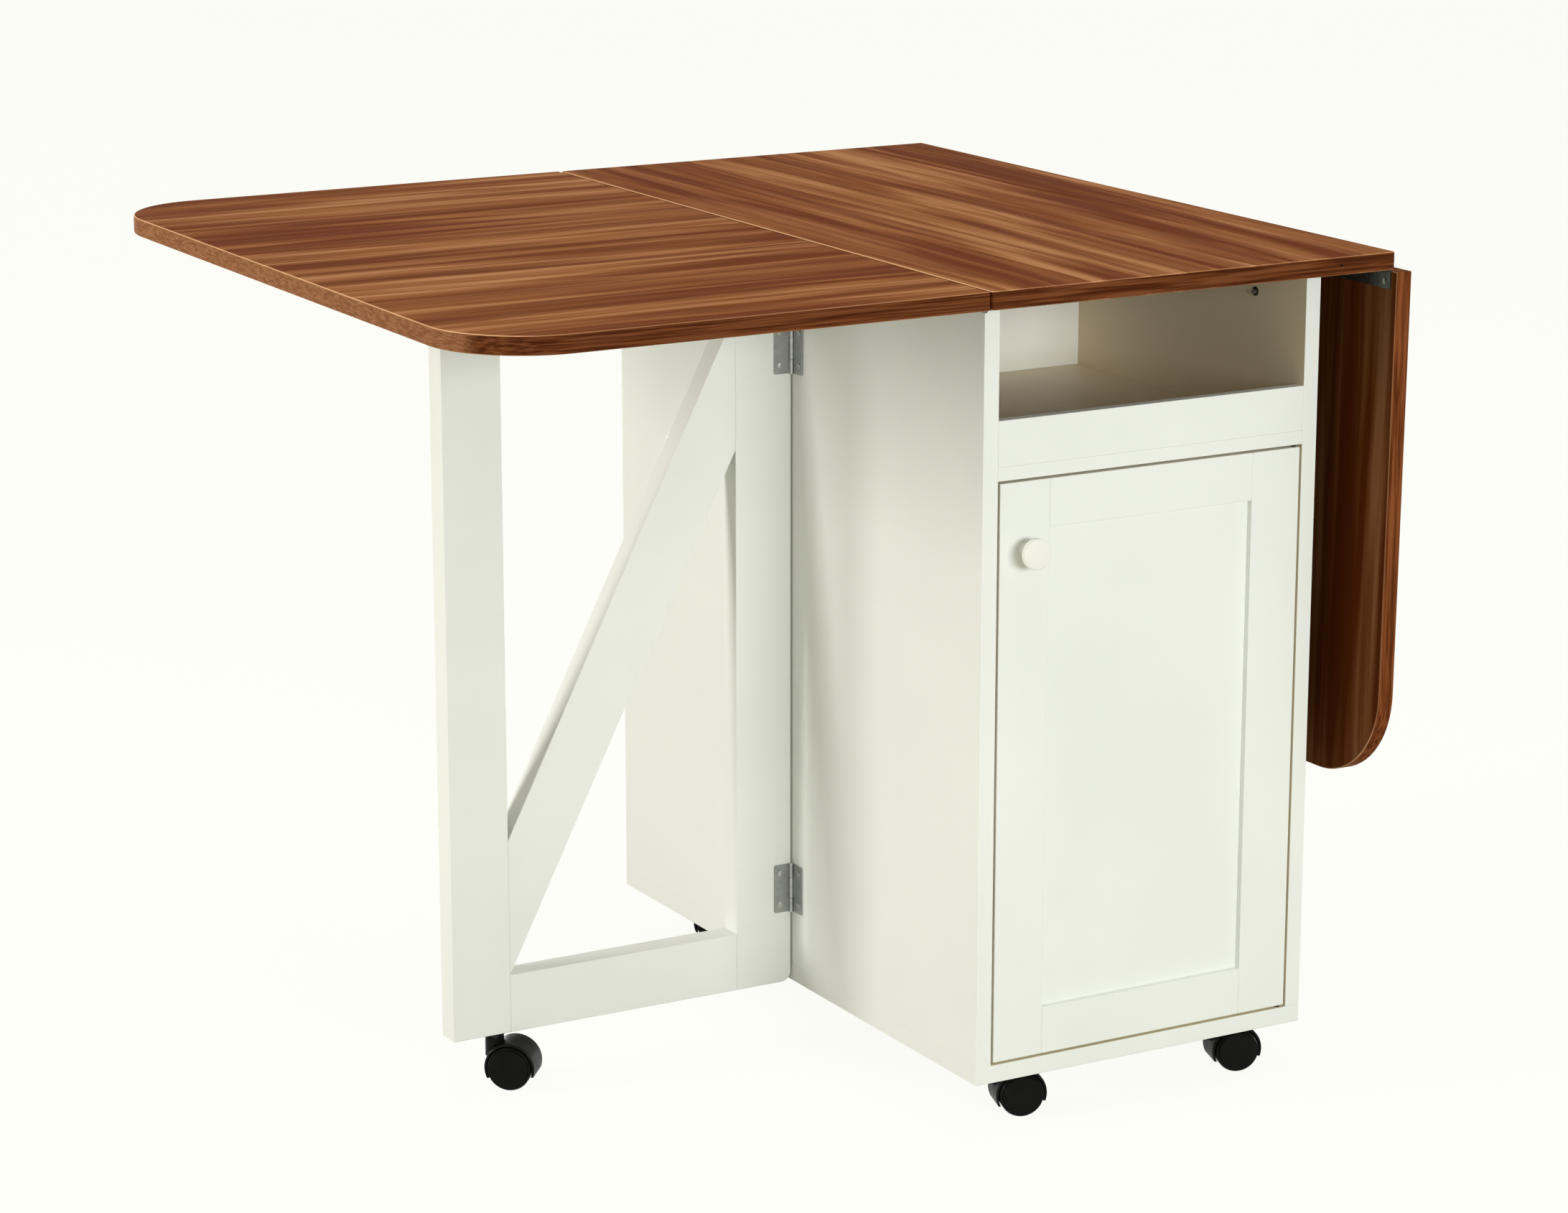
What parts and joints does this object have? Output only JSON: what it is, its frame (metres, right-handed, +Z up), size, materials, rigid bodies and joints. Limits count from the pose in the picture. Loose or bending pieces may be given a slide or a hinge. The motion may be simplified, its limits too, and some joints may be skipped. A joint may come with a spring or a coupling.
{
  "type": "rolling kitchen island",
  "caption": "Drop-leaf kitchen island on casters: white cabinet with a door and an open niche, walnut top whose hinged leaves rest on swing-out gates.",
  "frame": {"origin": "middle of the part's footprint on the floor, as pictured with the left leaf up and the right leaf down", "axes": "+X along the leaves towards the hanging leaf, -Y towards the door's face, +Z up"},
  "size_m": [0.8908, 0.782, 0.76],
  "materials": {
    "walnut_laminate": "satin walnut laminate",
    "white_paint": "satin white paint on board",
    "steel": "satin steel",
    "black_plastic": "moulded black",
    "pale_plastic": "moulded white"
  },
  "bodies": {
    "cabinet": {"back_panel": "white_paint", "bottom_panel": "white_paint", "cabinet_caster_sockets": "black_plastic", "centre_top": "walnut_laminate", "cupboard_shelf": "white_paint", "door_pivot_pins": "steel", "gate_hinge_fixed_flaps": "steel", "leaf_hinge_fixed_flaps": "steel", "left_side_panel": "white_paint", "magnet_catch": "pale_plastic", "niche_back_panel": "white_paint", "niche_front_rail": "white_paint", "niche_shelf": "white_paint", "right_side_panel": "white_paint", "shelf_pins": "steel"},
    "door": {"door_bottom_rail": "white_paint", "door_knob": "white_paint", "door_left_stile": "white_paint", "door_panel": "white_paint", "door_right_stile": "white_paint", "door_strike_plate": "steel", "door_top_rail": "white_paint"},
    "left_leaf": {"left_leaf": "walnut_laminate", "left_leaf_flaps": "steel"},
    "right_leaf": {"right_leaf": "walnut_laminate", "right_leaf_flaps": "steel"},
    "left_gate": {"left_gate_bottom_rail": "white_paint", "left_gate_brace": "white_paint", "left_gate_caster_socket": "black_plastic", "left_gate_hinge_flaps": "steel", "left_gate_hinge_post": "white_paint", "left_gate_outer_leg": "white_paint", "left_gate_rest_pad": "pale_plastic", "left_gate_top_rail": "white_paint"},
    "right_gate": {"right_gate_bottom_rail": "white_paint", "right_gate_brace": "white_paint", "right_gate_caster_socket": "black_plastic", "right_gate_hinge_flaps": "steel", "right_gate_hinge_post": "white_paint", "right_gate_outer_leg": "white_paint", "right_gate_rest_pad": "pale_plastic", "right_gate_top_rail": "white_paint"},
    "front_left_caster": {"front_left_caster_hood": "black_plastic", "front_left_caster_pins": "steel"},
    "front_left_wheels": {"front_left_caster_wheels": "black_plastic"},
    "front_right_caster": {"front_right_caster_hood": "black_plastic", "front_right_caster_pins": "steel"},
    "front_right_wheels": {"front_right_caster_wheels": "black_plastic"},
    "rear_left_caster": {"rear_left_caster_hood": "black_plastic", "rear_left_caster_pins": "steel"},
    "rear_left_wheels": {"rear_left_caster_wheels": "black_plastic"},
    "rear_right_caster": {"rear_right_caster_hood": "black_plastic", "rear_right_caster_pins": "steel"},
    "rear_right_wheels": {"rear_right_caster_wheels": "black_plastic"},
    "left_gate_caster": {"left_gate_caster_hood": "black_plastic", "left_gate_caster_pins": "steel"},
    "left_gate_wheels": {"left_gate_caster_wheels": "black_plastic"},
    "right_gate_caster": {"right_gate_caster_hood": "black_plastic", "right_gate_caster_pins": "steel"},
    "right_gate_wheels": {"right_gate_caster_wheels": "black_plastic"}
  },
  "joints": [
    {"name": "left_leaf_lift", "type": "hinge", "parent": "cabinet", "child": "left_leaf", "pos_m": [0.01789, 0, 0.743], "axis": [0, 1, 0], "range_deg": [0, 6]},
    {"name": "right_leaf_lift", "type": "hinge", "parent": "cabinet", "child": "right_leaf", "pos_m": [0.42839, 0, 0.743], "axis": [0, -1, 0], "range_deg": [0, 90.55]},
    {"name": "left_gate_swing", "type": "hinge", "parent": "cabinet", "child": "left_gate", "pos_m": [0.04874, -0.0084, 0.37], "axis": [0, 0, 1], "range_deg": [0, 90]},
    {"name": "right_gate_swing", "type": "hinge", "parent": "cabinet", "child": "right_gate", "pos_m": [0.39754, 0.0084, 0.37], "axis": [0, 0, -1], "range_deg": [0, 0.12]},
    {"name": "door_swing", "type": "hinge", "parent": "cabinet", "child": "door", "pos_m": [0.37384, -0.325, 0.3255], "axis": [0, 0, 1], "range_deg": [0, 105]},
    {"name": "front_left_swivel", "type": "hinge", "parent": "cabinet", "child": "front_left_caster", "pos_m": [0.10714, -0.278, 0.05], "axis": [0, 0, 1], "continuous": true},
    {"name": "front_left_roll", "type": "hinge", "parent": "front_left_caster", "child": "front_left_wheels", "pos_m": [0.12331, -0.28325, 0.02], "axis": [0.309, 0.9511, 0], "continuous": true},
    {"name": "front_right_swivel", "type": "hinge", "parent": "cabinet", "child": "front_right_caster", "pos_m": [0.33914, -0.278, 0.05], "axis": [0, 0, 1], "continuous": true},
    {"name": "front_right_roll", "type": "hinge", "parent": "front_right_caster", "child": "front_right_wheels", "pos_m": [0.35531, -0.28325, 0.02], "axis": [0.309, 0.9511, 0], "continuous": true},
    {"name": "rear_left_swivel", "type": "hinge", "parent": "cabinet", "child": "rear_left_caster", "pos_m": [0.10714, 0.278, 0.05], "axis": [0, 0, 1], "continuous": true},
    {"name": "rear_left_roll", "type": "hinge", "parent": "rear_left_caster", "child": "rear_left_wheels", "pos_m": [0.12186, 0.2695, 0.02], "axis": [0.5, 0.866, 0], "continuous": true},
    {"name": "rear_right_swivel", "type": "hinge", "parent": "cabinet", "child": "rear_right_caster", "pos_m": [0.33914, 0.278, 0.05], "axis": [0, 0, 1], "continuous": true},
    {"name": "rear_right_roll", "type": "hinge", "parent": "rear_right_caster", "child": "rear_right_wheels", "pos_m": [0.3224, 0.28095, 0.02], "axis": [-0.1736, -0.9848, 0], "continuous": true},
    {"name": "left_gate_swivel", "type": "hinge", "parent": "left_gate", "child": "left_gate_caster", "pos_m": [-0.25036, 0.006, 0.05], "axis": [0, 0, 1], "continuous": true},
    {"name": "left_gate_roll", "type": "hinge", "parent": "left_gate_caster", "child": "left_gate_wheels", "pos_m": [-0.23734, -0.00493, 0.02], "axis": [0.6428, 0.766, 0], "continuous": true},
    {"name": "right_gate_swivel", "type": "hinge", "parent": "right_gate", "child": "right_gate_caster", "pos_m": [0.41194, 0.3075, 0.05], "axis": [0, 0, 1], "continuous": true},
    {"name": "right_gate_roll", "type": "hinge", "parent": "right_gate_caster", "child": "right_gate_wheels", "pos_m": [0.41194, 0.3245, 0.02], "axis": [-1, 0, 0], "continuous": true}
  ]
}
